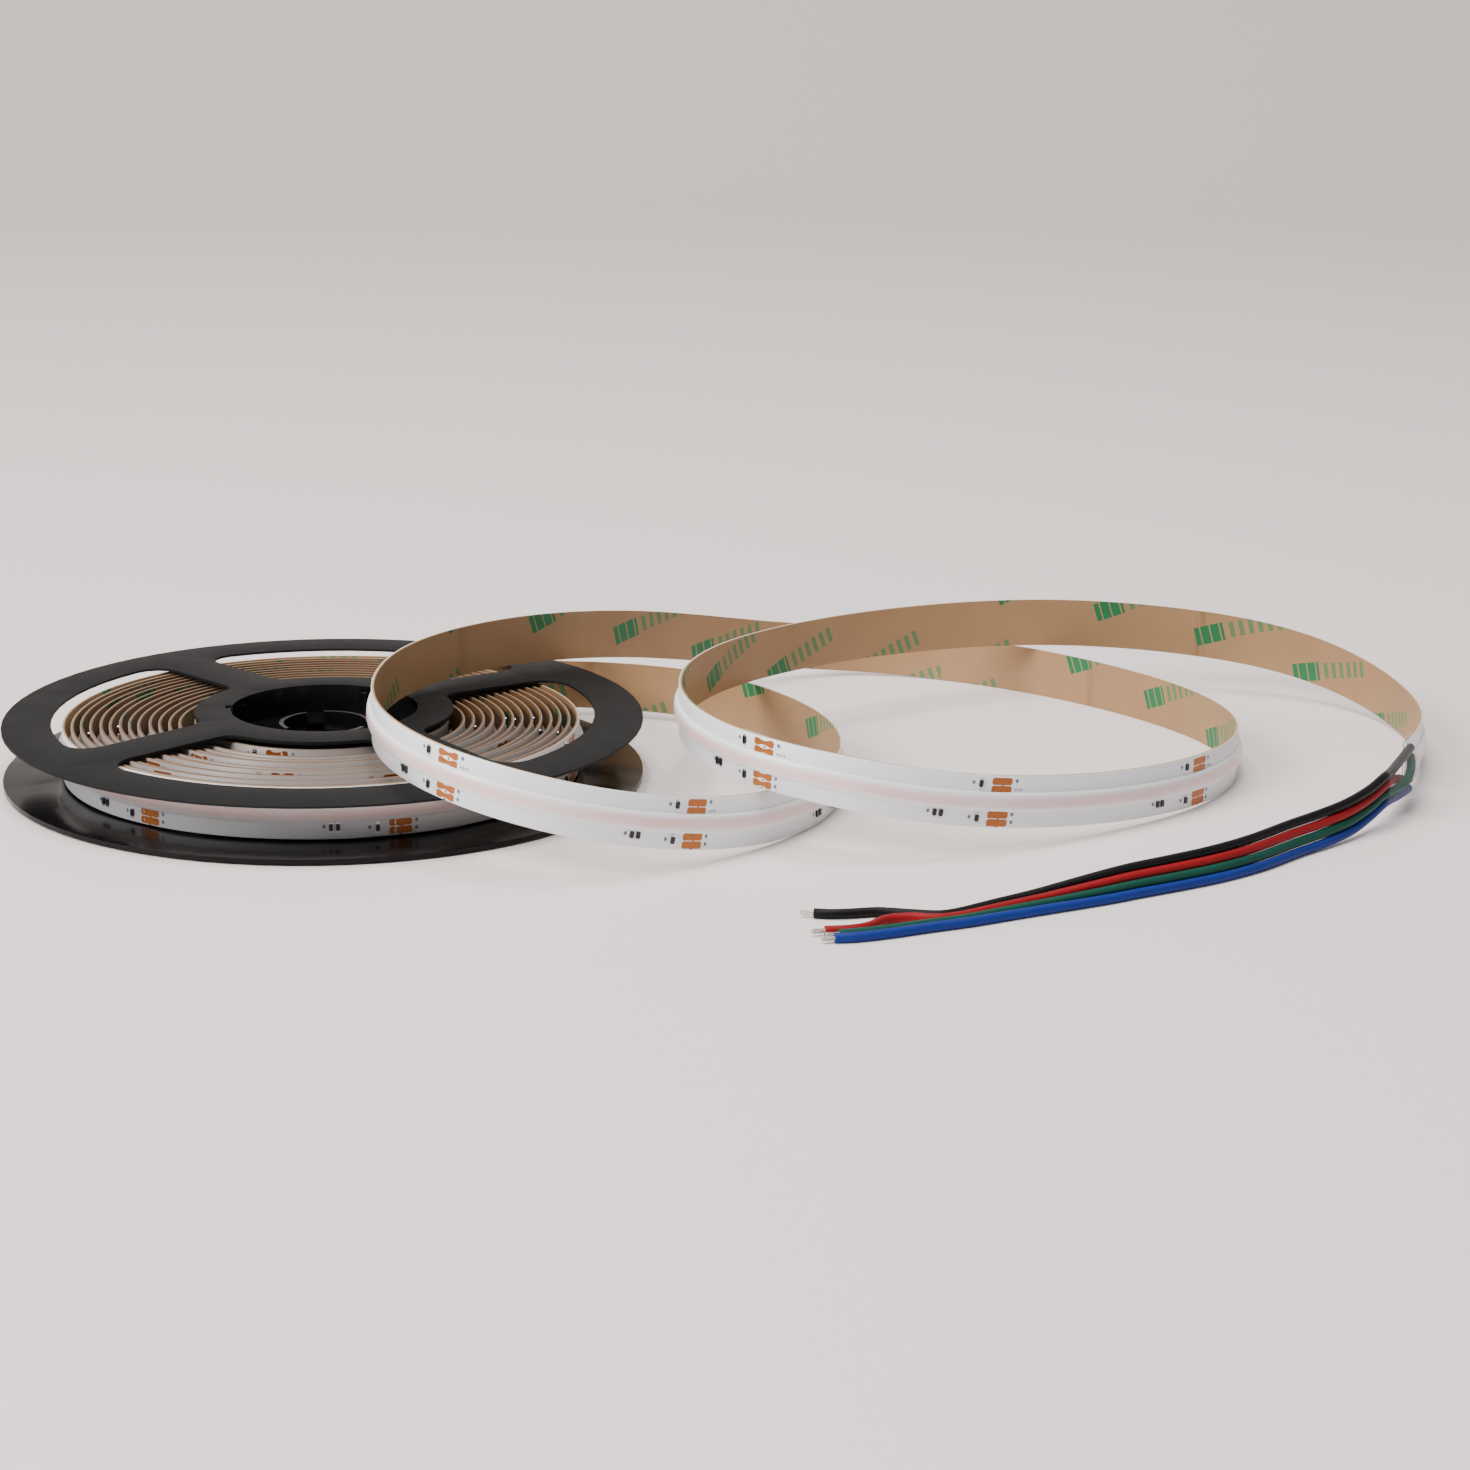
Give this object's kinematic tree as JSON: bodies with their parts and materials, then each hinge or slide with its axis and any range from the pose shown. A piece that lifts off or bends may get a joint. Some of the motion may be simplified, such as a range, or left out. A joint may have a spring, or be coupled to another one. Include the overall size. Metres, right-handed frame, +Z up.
{
  "type": "led strip light reel",
  "caption": "LED strip light wound on a flat two-flange plastic reel, its free end standing in two loops with a clear sleeve and four bare-ended wires.",
  "frame": {"origin": "centre of the reel and strip together on the floor, with the wires left out", "axes": "+Z up along the reel's axis, +X from the reel towards the strip's wired end"},
  "size_m": [0.2852, 0.1921, 0.0247],
  "materials": {
    "reel_plastic": "matt moulded charcoal",
    "reel_plastic_gloss": "glossy moulded black",
    "board": "white solder mask with copper pads",
    "light_line": "pinkish milky silicone",
    "liner": "tan release paper with green print",
    "sleeve": "clear shrink sleeve",
    "wire_black": "black insulation",
    "wire_red": "red insulation",
    "wire_green": "dark green insulation",
    "wire_blue": "blue insulation",
    "tinned_copper": "tinned strands",
    "solder": "bright solder"
  },
  "bodies": {
    "root": {"upper_flange": "reel_plastic", "lower_flange": "reel_plastic_gloss", "board_wound": "board", "board_first_loop": "board", "board_second_loop": "board", "light_line": "light_line", "backing_liner": "liner", "shrink_sleeve": "sleeve", "wire_blue": "wire_blue", "tinned_end_blue": "tinned_copper", "solder_blue": "solder", "wire_green": "wire_green", "tinned_end_green": "tinned_copper", "solder_green": "solder", "wire_red": "wire_red", "tinned_end_red": "tinned_copper", "solder_red": "solder", "wire_black": "wire_black", "tinned_end_black": "tinned_copper", "solder_black": "solder"}
  },
  "joints": []
}
